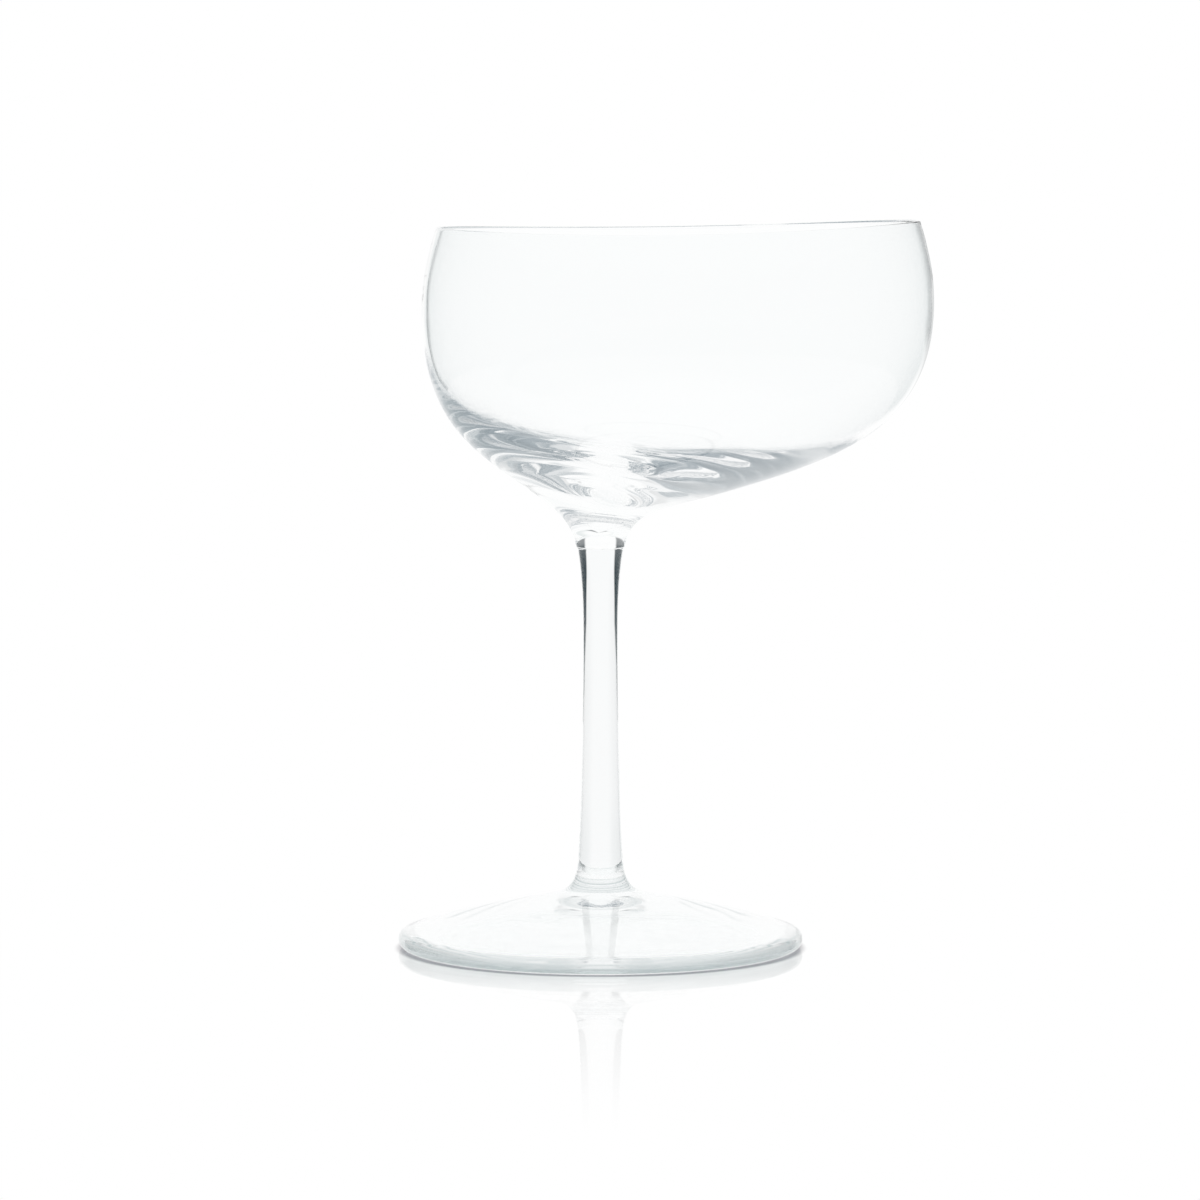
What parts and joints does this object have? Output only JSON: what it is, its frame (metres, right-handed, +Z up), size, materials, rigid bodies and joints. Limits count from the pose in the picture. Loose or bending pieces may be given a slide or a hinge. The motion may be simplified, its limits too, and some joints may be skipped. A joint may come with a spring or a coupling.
{
  "type": "coupe glass",
  "caption": "Clear stemmed coupe glass: a wide thin-walled bowl that overhangs one side of its slim stem, on a round hollow foot.",
  "frame": {"origin": "on the table, at the middle of the ring that the foot rests on, on the stem's axis", "axes": "+Z up along the stem, +X towards the side where the bowl overhangs, +Y away from the picture's viewer"},
  "size_m": [0.1118, 0.1066, 0.1521],
  "materials": {
    "clear_glass": "fire-polished clear glass"
  },
  "bodies": {
    "root": {"foot": "clear_glass", "stem": "clear_glass", "bowl": "clear_glass"}
  },
  "joints": []
}
